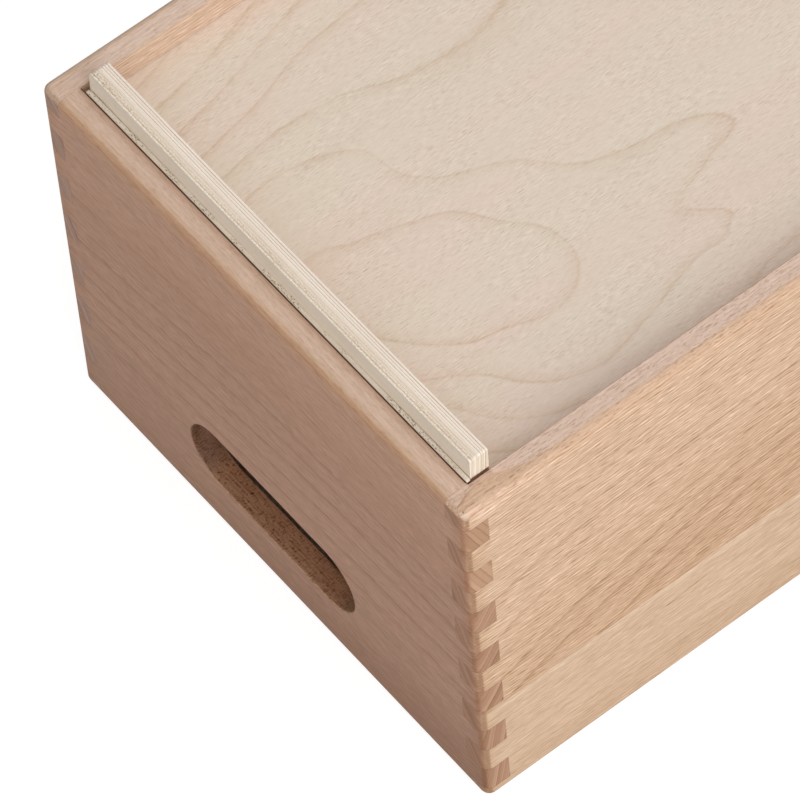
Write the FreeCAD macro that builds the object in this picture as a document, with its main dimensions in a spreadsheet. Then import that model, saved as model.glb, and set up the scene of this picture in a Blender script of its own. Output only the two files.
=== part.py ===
# Finger-jointed beech box with a plywood lid that slides in grooves.
# Frame: X across the box, Y along it, Z up. The origin is the middle of the footprint, on the floor.
# The front wall, at -Y, is full height. The lid leaves over the lower rear wall, at +Y.
import FreeCAD, Part
import math
import os
import Sketcher

SIZES = [  # alias, millimetres, what it is
    ("CaseLength", 400, "outer length, along Y"),
    ("CaseWidth", 300, "outer width, along X"),
    ("CaseHeight", 232, "height of the long walls and of the front wall"),
    ("WallThick", 13, "thickness of every wall"),
    ("RimRound", 4, "rounding of the outer top edges"),
    ("CornerRound", 4.5, "rounding of the four upright corners"),
    ("FootRound", 2.5, "rounding of the outer bottom edges"),
    ("RimBevel", 0.5, "small bevel on the inner top edges"),
    ("FingerPitch", 32.9, "one finger and one gap of the corner joints"),
    ("RimFinger", 12.15, "height of the top finger of the long walls"),
    ("SideBoardLow", 69.2, "height of the lower board of the long walls"),
    ("EndBoardLow", 64, "height of the lowest board of the end walls"),
    ("EndBoardHigh", 70, "height of the top board of the front wall, from the rim down"),
    ("HandleLength", 120, "length of the hand slot in each end wall"),
    ("HandleHeight", 41, "height of the hand slot"),
    ("HandleCentre", 52.5, "middle of the hand slot above the ground"),
    ("HandleShift", 2, "from the middle of the wall to the middle of the hand slot, towards -X"),
    ("HandleRound", 0.7, "rounding of the hand slot's edges"),
    ("FloorThick", 6, "thickness of the floor panel"),
    ("FloorRise", 8, "underside of the floor panel above the ground"),
    ("FloorGroove", 5, "depth of the groove that holds the floor panel"),
    ("LidThick", 6.5, "thickness of the lid panel"),
    ("LidDrop", 16, "from the rim down to the lid panel's top face"),
    ("LidGroove", 5.5, "depth of the groove that the lid panel runs in"),
    ("LidPlay", 0.35, "clearance above and below the lid panel in its groove"),
    ("LidSidePlay", 0.5, "clearance between the lid panel's edges and the groove's bottom"),
    ("LidInset", 1, "from the rear wall's outer face to the lid panel's end"),
    ("BattenThick", 11.7, "thickness of the batten on the lid, nine plies"),
    ("BattenLeftGap", 3.5, "clearance between the batten's end and the left wall"),
    ("BattenRightGap", 0.5, "clearance between the batten's end and the right wall"),
    ("BattenFrontGap", 0.4, "clearance between the batten and the front wall"),
    ("BattenRise", 13, "top of the batten above the rim"),
    ("BattenLedge", 1, "ledge in front of the batten above the rim"),
    ("BattenRabbet", 1.5, "depth of the ledge, one ply and its glue"),
    ("BattenEndRound", 2.5, "rounding of the batten's top ends"),
    ("BattenEase", 0.6, "rounding of the batten's long top edges"),
]

OVERCUT = 1.0  # how far a cutting block stands past the face that it opens
NEAR = 0.01  # slack of the tests that pick out edges

# Formulas that several pieces share.
INNER_X = "(CaseWidth / 2 - WallThick)"
INNER_Y = "(CaseLength / 2 - WallThick)"
FINGER = "(FingerPitch / 2)"
JOINT_TOP = "(CaseHeight - RimFinger)"
LID_TOP = "(CaseHeight - LidDrop)"
LID_UNDER = "(CaseHeight - LidDrop - LidThick)"
GROOVE_LOW = "(CaseHeight - LidDrop - LidThick - LidPlay)"
GROOVE_HIGH = "(CaseHeight - LidDrop + LidPlay)"
GROOVE_REACH = f"({INNER_X} + LidGroove)"

doc = FreeCAD.newDocument("SlidingLidBox")
sheet = doc.addObject("Spreadsheet::Sheet", "Sizes")


def fill_sheet():
    for row, (alias, value, meaning) in enumerate(SIZES, start=1):
        sheet.set(f"A{row}", meaning)
        sheet.set(f"B{row}", str(value))
        sheet.setAlias(f"B{row}", alias)
    doc.recompute()


def size(alias):
    return float(sheet.get(alias))


def linked(formula):
    """A formula over the sheet's aliases, as the expression engine wants it."""
    for alias, _, _ in SIZES:
        formula = formula.replace(alias, f"Sizes.{alias}")
    return formula


def bind(thing, **formulas):
    for prop, formula in formulas.items():
        thing.setExpression(prop.replace("__", "."), linked(formula))


def block(name, low, high):
    """A box from its low corner to its high corner, each given as three formulas."""
    box = doc.addObject("Part::Box", name)
    for prop, axis, start, end in zip(("Length", "Width", "Height"), "xyz", low, high):
        box.setExpression(prop, linked(f"({end}) - ({start})"))
        box.setExpression(f"Placement.Base.{axis}", linked(start))
    return box


def fuse(name, shapes):
    joined = doc.addObject("Part::MultiFuse", name)
    joined.Shapes = shapes
    return joined


def combine(kind, name, base, tool):
    result = doc.addObject(kind, name)
    result.Base = base
    result.Tool = tool
    return result


def sketch_on(body, name, role):
    plane = next(item for item in body.Origin.OriginFeatures if item.Role == role)
    sketch = body.newObject("Sketcher::SketchObject", name)
    sketch.AttachmentSupport = [(plane, "")]
    sketch.MapMode = "FlatFace"
    return sketch


def add_outline(sketch, points):
    """A closed outline whose lines run along the sketch's two axes in turn, the first along X."""
    corners = [FreeCAD.Vector(x, y, 0) for x, y in points]
    count = len(corners)
    for start, end in zip(corners, corners[1:] + corners[:1]):
        sketch.addGeometry(Part.LineSegment(start, end))
    for line in range(count):
        sketch.addConstraint(Sketcher.Constraint("Coincident", line, 2, (line + 1) % count, 1))
        sketch.addConstraint(Sketcher.Constraint(("Horizontal", "Vertical")[line % 2], line))


def add_size(sketch, kind, name, formula, *ends):
    """A named dimension of the sketch, bound to the sheet."""
    index = sketch.addConstraint(Sketcher.Constraint(kind, *ends, 1.0))
    sketch.renameConstraint(index, name)
    sketch.setExpression(f"Constraints.{name}", linked(formula))


def plate(name, width, depth, height):
    """A body that is a rectangle centred in plan and padded upwards."""
    body = doc.addObject("PartDesign::Body", name)
    sketch = sketch_on(body, f"{name}_plan", "XY_Plane")
    add_outline(sketch, [(-10, -10), (10, -10), (10, 10), (-10, 10)])
    sketch.addConstraint(Sketcher.Constraint("Symmetric", 0, 1, 2, 1, -1, 1))
    add_size(sketch, "DistanceX", "Wide", width, 0, 1, 0, 2)
    add_size(sketch, "DistanceY", "Deep", depth, 1, 1, 1, 2)
    pad = body.newObject("PartDesign::Pad", f"{name}_pad")
    pad.Profile = sketch
    bind(pad, Length=height)
    doc.recompute()
    return body


def round_edges(body, name, test, radius):
    """Rounds the edges of the body whose bounding box passes the test."""
    base = body.Tip
    edges = enumerate(base.Shape.Edges, start=1)
    fillet = body.newObject("PartDesign::Fillet", name)
    fillet.Base = (base, [f"Edge{number}" for number, edge in edges if test(edge.BoundBox)])
    bind(fillet, Radius=radius)
    doc.recompute()


def make_envelope():
    """The finished outside of the case, rounded as one piece after glueing."""
    body = plate("envelope", "CaseWidth", "CaseLength", "CaseHeight")
    top = size("CaseHeight")
    round_edges(body, "envelope_corners", lambda box: box.ZLength > top / 2, "CornerRound")
    round_edges(body, "envelope_rim", lambda box: box.ZMin > top - NEAR, "RimRound")
    round_edges(body, "envelope_foot", lambda box: box.ZMax < NEAR, "FootRound")
    return body


def make_rim_bevel():
    """Wedge over the opening that bevels the inner top edges and runs out over the rear wall."""
    wedge = doc.addObject("Part::Wedge", "rim_bevel")
    wedge.Placement.Rotation = FreeCAD.Rotation(FreeCAD.Vector(1, 0, 0), 90)
    bind(wedge, Placement__Base__z="CaseHeight - RimBevel", Ymin="0", Ymax="2 * RimBevel")
    low, high = INNER_X, f"({INNER_X} + 2 * RimBevel)"
    bind(wedge, Xmin=f"-{low}", Xmax=low, X2min=f"-{high}", X2max=high)
    low, high = INNER_Y, f"({INNER_Y} + 2 * RimBevel)"
    bind(wedge, Zmin="-CaseLength", Zmax=low, Z2min="-CaseLength", Z2max=high)
    return wedge


def corner_blocks(name, end, filled_by):
    """Blocks at both corners of one end: where the end wall's fingers are, or the long walls'."""
    outer_x = f"(CaseWidth / 2 + {OVERCUT})"
    outer_y = f"(CaseLength / 2 + {OVERCUT})"
    y_low, y_high = (f"-{outer_y}", f"-{INNER_Y}") if end == "front" else (INNER_Y, outer_y)
    drop = f"{FINGER}" if filled_by == "end_wall" else "FingerPitch"
    count = math.ceil((size("CaseHeight") - size("RimFinger")) / size("FingerPitch"))
    blocks = []
    for hand, x_low, x_high in (("left", f"-{outer_x}", f"-{INNER_X}"), ("right", INNER_X, outer_x)):
        for step in range(count):
            base = f"({JOINT_TOP} - {drop} - {step} * FingerPitch)"
            low, high = (x_low, y_low, base), (x_high, y_high, f"{base} + {FINGER}")
            blocks.append(block(f"{name}_{hand}_{step + 1}", low, high))
        if filled_by == "long_walls":
            low, high = (x_low, y_low, JOINT_TOP), (x_high, y_high, f"CaseHeight + {OVERCUT}")
            blocks.append(block(f"{name}_{hand}_top", low, high))
    return blocks


def floor_block(name):
    """The space of the floor panel, with its edges in the grooves of all four walls."""
    half_x = f"({INNER_X} + FloorGroove)"
    half_y = f"({INNER_Y} + FloorGroove)"
    return block(name, (f"-{half_x}", f"-{half_y}", "FloorRise"), (half_x, half_y, "FloorRise + FloorThick"))


def add_slot_outline(sketch):
    """A slot with round ends, lying along X and a little to one side of the wall's middle."""
    half, radius, centre = 40.0, 20.0, 50.0
    quarter = math.pi / 2
    up = FreeCAD.Vector(0, 0, 1)
    right = Part.Circle(FreeCAD.Vector(half, centre, 0), up, radius)
    left = Part.Circle(FreeCAD.Vector(-half, centre, 0), up, radius)
    sketch.addGeometry(Part.ArcOfCircle(right, -quarter, quarter))
    sketch.addGeometry(Part.ArcOfCircle(left, quarter, 3 * quarter))
    for start, level in ((half, centre + radius), (-half, centre - radius)):
        ends = FreeCAD.Vector(start, level, 0), FreeCAD.Vector(-start, level, 0)
        sketch.addGeometry(Part.LineSegment(*ends))
    for ends in ((0, 2, 2, 1), (2, 2, 1, 1), (1, 2, 3, 1), (3, 2, 0, 1)):
        sketch.addConstraint(Sketcher.Constraint("Tangent", *ends))
    sketch.addConstraint(Sketcher.Constraint("Horizontal", 2))
    sketch.addConstraint(Sketcher.Constraint("Equal", 0, 1))
    add_size(sketch, "DistanceX", "Half", "(HandleLength - HandleHeight) / 2 - HandleShift", -1, 1, 0, 3)
    add_size(sketch, "DistanceX", "Reach", "HandleLength - HandleHeight", 1, 3, 0, 3)
    add_size(sketch, "DistanceY", "Rise", "HandleCentre", -1, 1, 0, 3)
    add_size(sketch, "Radius", "End", "HandleHeight / 2", 0)


def make_end_blank(end):
    """An end wall with its hand slot, before its fingers and grooves are cut."""
    name = f"{end}_blank"
    body = plate(name, "CaseWidth", "WallThick", "CaseHeight")
    sign = "-" if end == "front" else ""
    bind(body, Placement__Base__y=f"{sign}(CaseLength / 2 - WallThick / 2)")
    slot = sketch_on(body, f"{name}_slot", "XZ_Plane")
    add_slot_outline(slot)
    pocket = body.newObject("PartDesign::Pocket", f"{name}_pocket")
    pocket.Profile = slot
    pocket.Type = "ThroughAll"
    pocket.Midplane = True
    doc.recompute()
    reach = size("HandleLength") / 2 + size("HandleShift") + NEAR
    low = size("HandleCentre") - size("HandleHeight") / 2 - NEAR
    high = size("HandleCentre") + size("HandleHeight") / 2 + NEAR

    def on_slot_mouth(box):
        inside = -reach < box.XMin and box.XMax < reach and low < box.ZMin and box.ZMax < high
        return inside and box.YLength < NEAR

    round_edges(body, f"{name}_eased", on_slot_mouth, "HandleRound")
    return body


def finish_wall(label, blank, tools, envelope, joints, low, high):
    """Cuts a wall, trims it to the outside and parts it into boards at its glue lines."""
    wall = combine("Part::Cut", f"{label}_cut", blank, fuse(f"{label}_tools", tools))
    wall = combine("Part::Common", f"{label}_whole", wall, envelope)
    names = ("lower", "upper") if len(joints) == 1 else ("lower", "middle", "upper")
    levels = ["0", *joints, "CaseHeight"]
    boards = []
    for name, bottom, top in zip(names, levels, levels[1:]):
        slab = block(f"{label}_{name}_slab", (*low, bottom), (*high, top))
        board = combine("Part::Common", f"{label}_{name}", wall, slab)
        board.Label = f"{label}_{name}"
        boards.append(board)
    return boards


def make_end_wall(end, envelope, rim_bevel):
    """The front wall takes the lid's edge in a groove. The rear wall ends below the lid, and only
    the outer part of its top fingers stands beside the lid, so that the long walls' sockets are full."""
    tools = corner_blocks(f"{end}_gap", end, "long_walls")
    tools.append(floor_block(f"{end}_floor_groove"))
    if end == "front":
        depth = f"({INNER_Y} + LidGroove)"
        low, high = (f"-{GROOVE_REACH}", f"-{depth}", GROOVE_LOW), (GROOVE_REACH, "0", GROOVE_HIGH)
        tools += [block("front_lid_groove", low, high), rim_bevel]
        y_low, y_high = "-CaseLength / 2", f"-{INNER_Y}"
    else:
        over = (GROOVE_REACH, f"CaseLength / 2 + {OVERCUT}", f"CaseHeight + {OVERCUT}")
        tools.append(block("rear_lid_way", (f"-{GROOVE_REACH}", "0", GROOVE_LOW), over))
        y_low, y_high = INNER_Y, "CaseLength / 2"
    joints = ("EndBoardLow", "CaseHeight - EndBoardHigh")
    low, high = ("-CaseWidth / 2", y_low), ("CaseWidth / 2", y_high)
    return finish_wall(f"{end}_wall", make_end_blank(end), tools, envelope, joints, low, high)


def make_long_wall(hand, envelope, rim_bevel):
    """A long wall with sockets for both end walls, the lid's groove and the floor's groove."""
    name = f"{hand}_wall"
    x_low, x_high = ("-CaseWidth / 2", f"-{INNER_X}") if hand == "left" else (INNER_X, "CaseWidth / 2")
    low, high = (x_low, "-CaseLength / 2"), (x_high, "CaseLength / 2")
    blank = block(f"{name}_blank", (*low, "0"), (*high, "CaseHeight"))
    groove_low = (f"-{GROOVE_REACH}", f"-{INNER_Y}", GROOVE_LOW)
    groove_high = (GROOVE_REACH, f"CaseLength / 2 + {OVERCUT}", GROOVE_HIGH)
    tools = corner_blocks(f"{name}_front_socket", "front", "end_wall")
    tools += corner_blocks(f"{name}_rear_socket", "rear", "end_wall")
    tools += [block(f"{name}_lid_groove", groove_low, groove_high), floor_block(f"{name}_floor_groove")]
    tools.append(rim_bevel)
    return finish_wall(name, blank, tools, envelope, ("SideBoardLow",), low, high)


def make_lid_panel():
    """The plywood panel, long enough to enter the front groove and to pass over the rear wall."""
    width = f"2 * ({GROOVE_REACH} - LidSidePlay)"
    front = f"({INNER_Y} + LidGroove - LidSidePlay)"
    rear = "(CaseLength / 2 - LidInset)"
    body = plate("lid_panel", width, f"{front} + {rear}", "LidThick")
    bind(body, Placement__Base__y=f"({rear} - {front}) / 2", Placement__Base__z=LID_UNDER)
    return body


def make_lid_batten():
    """The grip: a plywood strip on edge across the lid, its front ply cut away above the rim."""
    body = doc.addObject("PartDesign::Body", "lid_batten")
    sketch = sketch_on(body, "lid_batten_section", "YZ_Plane")
    add_outline(sketch, [(0, 0), (11, 0), (11, 30), (2, 30), (2, 17), (0, 17)])
    sketch.addConstraint(Sketcher.Constraint("Coincident", 0, 1, -1, 1))
    add_size(sketch, "DistanceX", "Thick", "BattenThick", 0, 1, 0, 2)
    add_size(sketch, "DistanceY", "Tall", "LidDrop + BattenRise", 1, 1, 1, 2)
    add_size(sketch, "DistanceX", "Rabbet", "BattenRabbet", 4, 2, 4, 1)
    add_size(sketch, "DistanceY", "Ledge", "LidDrop + BattenLedge", 0, 1, 4, 2)
    pad = body.newObject("PartDesign::Pad", "lid_batten_pad")
    pad.Profile = sketch
    pad.Midplane = True
    bind(pad, Length=f"2 * {INNER_X} - BattenLeftGap - BattenRightGap")
    bind(body, Placement__Base__x="(BattenLeftGap - BattenRightGap) / 2", Placement__Base__z=LID_TOP)
    bind(body, Placement__Base__y=f"BattenFrontGap - {INNER_Y}")
    doc.recompute()
    top = size("LidDrop") + size("BattenRise") - NEAR
    across = size("BattenThick")
    round_edges(body, "lid_batten_ends", lambda box: box.ZMin > top and box.XLength < NEAR, "BattenEndRound")
    round_edges(body, "lid_batten_eased", lambda box: box.ZMin > top and box.XLength > across, "BattenEase")
    return body


def check(parts):
    """Stops on any failed object, and on any piece that is not one valid solid."""
    doc.recompute()
    for item in doc.Objects:
        if "Invalid" in item.State or "Error" in item.State:
            raise RuntimeError(f"{item.Name} failed: {item.State}")
    for part in parts:
        shape = part.Shape
        if shape.isNull() or not shape.isValid() or len(shape.Solids) != 1:
            raise RuntimeError(f"{part.Label} is not one valid solid")


def main():
    fill_sheet()
    envelope = make_envelope()
    rim_bevel = make_rim_bevel()
    parts = []
    for end in ("front", "rear"):
        parts += make_end_wall(end, envelope, rim_bevel)
    for hand in ("left", "right"):
        parts += make_long_wall(hand, envelope, rim_bevel)
    parts += [floor_block("floor_panel"), make_lid_panel(), make_lid_batten()]
    check(parts)
    os.makedirs("parts", exist_ok=True)
    for part in parts:
        part.Shape.exportStep(os.path.join("parts", f"{part.Label}.step"))
        box = part.Shape.optimalBoundingBox()
        print(f"{part.Label:18s} x {box.XMin:.2f} {box.XMax:.2f}  y {box.YMin:.2f} {box.YMax:.2f}"
              f"  z {box.ZMin:.2f} {box.ZMax:.2f}  {part.Shape.Volume / 1000:.1f} cm3")


main()
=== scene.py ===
import math

import bmesh
import bpy
import numpy as np
from mathutils import Matrix, Vector


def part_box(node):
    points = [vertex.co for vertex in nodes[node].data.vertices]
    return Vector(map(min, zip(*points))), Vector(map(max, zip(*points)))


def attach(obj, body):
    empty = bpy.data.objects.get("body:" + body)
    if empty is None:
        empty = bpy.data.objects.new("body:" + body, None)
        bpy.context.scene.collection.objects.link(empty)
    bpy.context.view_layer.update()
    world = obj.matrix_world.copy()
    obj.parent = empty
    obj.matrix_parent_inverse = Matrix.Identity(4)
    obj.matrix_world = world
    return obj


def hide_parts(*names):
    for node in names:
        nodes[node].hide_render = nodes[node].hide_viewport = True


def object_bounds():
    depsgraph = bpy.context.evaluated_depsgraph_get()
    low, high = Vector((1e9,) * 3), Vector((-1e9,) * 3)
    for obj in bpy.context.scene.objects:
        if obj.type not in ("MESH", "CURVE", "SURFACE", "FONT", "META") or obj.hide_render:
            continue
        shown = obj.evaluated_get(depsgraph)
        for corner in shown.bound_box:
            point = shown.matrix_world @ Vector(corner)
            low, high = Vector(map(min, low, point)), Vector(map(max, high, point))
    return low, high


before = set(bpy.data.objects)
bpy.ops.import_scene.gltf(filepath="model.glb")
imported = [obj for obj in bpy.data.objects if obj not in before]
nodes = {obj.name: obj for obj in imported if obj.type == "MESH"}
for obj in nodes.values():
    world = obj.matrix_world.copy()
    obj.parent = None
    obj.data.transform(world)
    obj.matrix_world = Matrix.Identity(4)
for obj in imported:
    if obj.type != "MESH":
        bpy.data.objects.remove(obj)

mm = 0.001
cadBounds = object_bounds()
print("frame loaded:", len(nodes), "nodes")


class Wire:  # one socket of a node tree, usable in sums
    def __init__(self, sheet, socket):
        self.sheet = sheet
        self.socket = socket

    def sum(self, operation, *values):
        return self.sheet.add("Math", {"operation": operation}, dict(enumerate(values)))

    def __add__(self, other): return self.sum("ADD", self, other)
    def __radd__(self, other): return self.sum("ADD", other, self)
    def __sub__(self, other): return self.sum("SUBTRACT", self, other)
    def __rsub__(self, other): return self.sum("SUBTRACT", other, self)
    def __mul__(self, other): return self.sum("MULTIPLY", self, other)
    def __rmul__(self, other): return self.sum("MULTIPLY", other, self)
    def __truediv__(self, other): return self.sum("DIVIDE", self, other)
    def __pow__(self, other): return self.sum("POWER", self, other)
    def __abs__(self): return self.sum("ABSOLUTE", self)

    def fraction(self): return self.sum("FRACT", self)
    def floor(self): return self.sum("FLOOR", self)
    def least(self, other): return self.sum("MINIMUM", self, other)
    def most(self, other): return self.sum("MAXIMUM", self, other)
    def below(self, other): return self.sum("LESS_THAN", self, other)

    def fade(self, start, end, smooth=True):  # 0 at start, 1 at end
        kind = "SMOOTHSTEP" if smooth else "LINEAR"
        ends = {"Value": self, "From Min": start, "From Max": end}
        return self.sheet.add("MapRange", {"interpolation_type": kind, "clamp": True}, ends)

    def curve(self, points, start, end, lowest, highest, handle="AUTO"):  # a drawn curve of this value
        share = (self - start) / (end - start)
        drawn = [((x - start) / (end - start), (y - lowest) / (highest - lowest)) for x, y in points]
        height = self.sheet.add("FloatCurve", {"points": drawn, "handle": handle}, {"Value": share})
        return height * (highest - lowest) + lowest


class Sheet:  # the nodes of one material, or of the world
    def __init__(self, owner):
        owner.use_nodes = True
        self.owner = owner
        self.tree = owner.node_tree
        self.tree.nodes.clear()

    def add(self, kind, settings=None, sockets=None, output=0):
        node = self.tree.nodes.new("ShaderNode" + kind)
        settings = dict(settings or {})
        points, handle = settings.pop("points", None), settings.pop("handle", "AUTO")
        for key, value in settings.items():
            setattr(node, key, value)
        if points:
            self.draw(node.mapping, points, handle)
        for key, value in (sockets or {}).items():
            if isinstance(value, Wire):
                self.tree.links.new(value.socket, node.inputs[key])
            else:
                node.inputs[key].default_value = value
        return Wire(self, node.outputs[output]) if node.outputs else node

    def draw(self, mapping, points, handle):
        line = mapping.curves[0].points
        while len(line) < len(points):
            line.new(0.5, 0.5)
        for point, (x, y) in zip(line, points):
            point.location = (x, y)
            point.handle_type = handle
        mapping.extend = "EXTRAPOLATED"
        mapping.use_clip = False
        mapping.update()

    def part(self, vector):  # x, y and z of a vector
        return [self.add("SeparateXYZ", {}, {0: vector}, axis) for axis in range(3)]

    def vector(self, x, y, z):
        return self.add("CombineXYZ", {}, {0: x, 1: y, 2: z})

    def spot(self):  # where on the object this is, in mm
        place = self.add("TexCoord", {}, {}, "Object")
        return self.part(self.add("VectorMath", {"operation": "SCALE"}, {0: place, 3: 1 / mm}))

    def facing(self):  # which way the surface looks
        return self.part(self.add("TexCoord", {}, {}, "Normal"))

    def noise(self, space, lengths, detail, rough, seed):  # stretched noise, from 0 to 1
        seedStep = 7.31                                                 # from one draw to a fresh part of the noise
        place = self.vector(*[value / length + seed * seedStep for value, length in zip(space, lengths)])
        return self.add("TexNoise", {}, {"Vector": place, "Scale": 1.0, "Detail": detail, "Roughness": rough})

    def grain(self, noises, seed):  # draws a noise by its name in a table
        def drawNoise(kind, space):
            given = noises[kind]
            wave = self.noise(space, given["size"], given["detail"], given["rough"], seed + given["draw"])
            if "spots" in given:
                return wave.fade(*given["spots"])
            return (wave - 0.5) * given["reach"] if "reach" in given else wave - 0.5
        return drawNoise

    def mix(self, share, first, second, blend="MIX"):
        settings = {"data_type": "RGBA", "blend_type": blend, "clamp_factor": True}
        return self.add("Mix", settings, {0: share, 6: first, 7: second}, 2)

    def shaded(self, colour, sway):  # wood turned lighter or darker
        redLeast = (0.80, 1.02, 1.25)
        gains = self.vector(*[1 + sway * share for share in redLeast])
        return self.add("VectorMath", {"operation": "MULTIPLY"}, {0: colour, 1: gains})

    def finish(self, colour, rough, height, relief, specular=0.2):  # the wood's own shader, with its bump
        bump = self.add("Bump", {}, {"Height": height, "Strength": 1.0, "Distance": relief})
        sockets = {"Base Color": colour, "Roughness": rough, "Normal": bump, "Specular IOR Level": specular}
        shader = self.add("BsdfPrincipled", {}, sockets)
        self.add("OutputMaterial", {}, {"Surface": shader})
        return self.owner


def colour(red, green, blue):  # linear colour, opaque
    return (red, green, blue, 1.0)


beech = {
    "fingerPitch": 32.9,    # one finger and one gap, mm
    "topFinger": 12.15,     # the long walls' top finger, mm
    "wall": 13.0,
    "height": 232.0,
    "jointLine": 0.16,      # half the width of a glue line, mm
    "jointDark": 0.36,
    "threadPitch": 2.2,     # mm between the fine threads of the grain
    "ringTint": (0.80, 0.745, 0.66),
    "ringWash": 0.6,        # how much a ring darkens towards its line
    "ringLine": 0.5,        # how dark the line itself is
    "yearDark": 0.26,       # late wood on a board's end
    "sawMarks": 0.3,        # saw marks on a board's end
    "slot": {"centre": -2.0, "half": 62.0, "middle": 52.5, "tall": 22.0},
    # the hand slot: router burn at the mouth, painted light deeper in
    "burntLip": (0.92, 0.88, 0.79),
    "paintedLightDeep": (1.13, 1.08, 1.0),
    "burntEndShade": (0.62, 0.60, 0.64),     # the slot's left end, which looks to the right: router burn and painted shade
    "shadeNearEnd": (0.93, 0.90, 0.85),      # painted shade: faces darker towards the upright corners
    "rimShadeByBatten": (0.80, 0.74, 0.70),   # painted shade: the front rim darker towards the batten
    "rimGapShade": (0.24, 0.15, 0.11),        # painted shade: dark line along the rim's inner edge, in the gap beside the batten
    "ridgeShade": (0.74, 0.62, 0.54),        # painted shade: dark line where the rim's flat turns into its rounding near the corner
    "scuffed": (1.22, 1.28, 1.40),      # pale streaks near a handled corner
    "cornerWear": 0.08,
    "rough": 0.55,
    "relief": 0.0002,       # metres
    "tones": {"broad": 0.11, "streak": 0.08, "fine": 0.18, "pores": -0.08, "nicks": -0.26},     # lighter or darker
    "heights": {"dash": 0.12, "fine": 0.14, "pores": -0.2, "hair": -0.2, "nicks": -0.5},        # up or down
}

# The beech's noises. size: along, up and into the board, mm; draw: added to the board's seed; spots: levels between
# which it fades into spots. The others sway either way by half of reach, or by 0.5.
beechNoises = {
    "drift": {"size": (90, 22, 22), "detail": 1, "rough": 0.5, "draw": 10, "reach": 4.0},
    "dash": {"size": (8, 1.0, 0.9), "detail": 1, "rough": 0.5, "draw": 40, "spots": (0.34, 0.66)},
    "hair": {"size": (16, 0.6, 0.5), "detail": 1, "rough": 0.5, "draw": 45, "spots": (0.60, 0.70)},
    "swerve": {"size": (30, 5, 5), "detail": 1, "rough": 0.5, "draw": 46, "reach": 3.6},
    "threadSpots": {"size": (5.5, 1.5, 1.4), "detail": 1, "rough": 0.5, "draw": 47, "spots": (0.32, 0.66)},
    "streak": {"size": (70, 2.6, 2.0), "detail": 2, "rough": 0.55, "draw": 30},
    "fine": {"size": (2.6, 0.42, 0.36), "detail": 1, "rough": 0.5, "draw": 50},
    "pores": {"size": (4.2, 0.5, 0.42), "detail": 1, "rough": 0.5, "draw": 60, "spots": (0.60, 0.72)},
    "cut": {"size": (1.2, 0.5, 0.5), "detail": 2, "rough": 0.6, "draw": 65},
    "wave": {"size": (26, 9, 9), "detail": 2, "rough": 0.5, "draw": 70, "reach": 2.6},
    "broad": {"size": (160, 30, 22), "detail": 2, "rough": 0.5, "draw": 20},
    "jag": {"size": (14, 1.6, 4), "detail": 2, "rough": 0.6, "draw": 0, "reach": 0.9},
    "broken": {"size": (16, 2.0, 2.0), "detail": 1, "rough": 0.5, "draw": 15, "spots": (0.32, 0.56)},
    "yearTone": {"size": (1, 90, 90), "detail": 0, "rough": 0.5, "draw": 0.4},
    "wobble": {"size": (10, 40, 40), "detail": 2, "rough": 0.55, "draw": 75, "reach": 1.68},
    "scuffs": {"size": (9.0, 0.9, 0.8), "detail": 1, "rough": 0.5, "draw": 86, "spots": (0.42, 0.60)},
    "nicks": {"size": (3.0, 0.5, 0.45), "detail": 1, "rough": 0.5, "draw": 85, "spots": (0.60, 0.68)},
    "scorch": {"size": (0.8, 2.3, 0.8), "detail": 1, "rough": 0.5, "draw": 80, "spots": (0.58, 0.65)},
    "ragged": {"size": (1.6, 0.5, 0.5), "detail": 2, "rough": 0.6, "draw": 81, "spots": (0.35, 0.6)},
    "chip": {"size": (0.8, 0.8, 0.8), "detail": 2, "rough": 0.6, "draw": 81, "reach": 2.4},
}

# How far a ring line still climbs before it reaches its own height, drawn at some heights of the wall. rings: the
# height of each ring line, mm, and how strong it is.
frontFigure = {
    "span": (-150, 150),
    "curves": [
        (64, [(-150, 26), (-102, 22), (-67, 18.8), (-32, 14), (-2, 10.5), (23, 8.5), (60, 6.5), (98, 3), (150, -1)]),
        (116, [(-150, 31), (-102, 25), (-67, 19), (-32, 14), (-2, 9.8), (23, 6.5), (60, 3), (98, 1.5), (150, -0.5)]),
        (176, [(-150, 14.5), (-82, 7.5), (-52, 3.5), (-27, 0.8), (13, -1.2), (73, -1.2), (150, 0.3)]),
        (206, [(-150, 2), (-82, -2), (0, -2.2), (60, -1.5), (150, 0.5)]),
    ],
    "rings": [(6, 0.3), (18, 0.25), (33, 0.4), (47, 0.3), (60, 0.35), (80, 0.6), (98, 0.75), (114.2, 0.7),
              (128, 0.95), (141.7, 0.5), (153.7, 0.8), (162, 0.3), (180.2, 0.85), (190, 0.15), (202.5, 0.6),
              (219, 0.45), (228, 0.3)],
}
sideFigure = {
    "span": (-200, 200),
    "curves": [
        (69, [(-200, 58), (-186, 52), (-152, 43), (-131, 39), (-92, 27), (-52, 13), (-17, 0), (60, -8), (130, 2),
              (200, 16)]),
        (125, [(-200, 38), (-186, 30), (-130, 15.6), (-95, 11), (-67, 6), (-17, 0), (60, -5), (130, 3), (200, 12)]),
        (200, [(-200, 6), (-186, 5), (-127, 4), (-62, 2), (-17, 0), (60, -2), (130, 1), (200, 4)]),
    ],
    "rings": [(74, 0.4), (84, 0.5), (96, 0.6), (109.2, 1.0), (121.7, 0.95), (133, 0.95), (144, 0.35), (154.2, 0.6),
              (165, 0.3), (175.5, 0.95), (186.7, 0.5), (193, 0.35), (199.2, 0.45), (206.7, 0.5), (218, 0.4),
              (226, 0.3)],
}
plainFigure = {
    "span": (-200, 200),
    "curves": [(0, [(-200, 2), (-100, 0), (0, -1), (100, 0), (200, 3)]),
               (70, [(-200, 1), (-100, 0.5), (0, 0), (100, -1), (200, 1)])],
    "rings": [(4, 0.3), (9, 0.4), (16.7, 0.55), (23, 0.6), (33, 0.5), (41.7, 0.5), (53, 0.4), (62, 0.25), (75, 0.3)],
}
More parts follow.
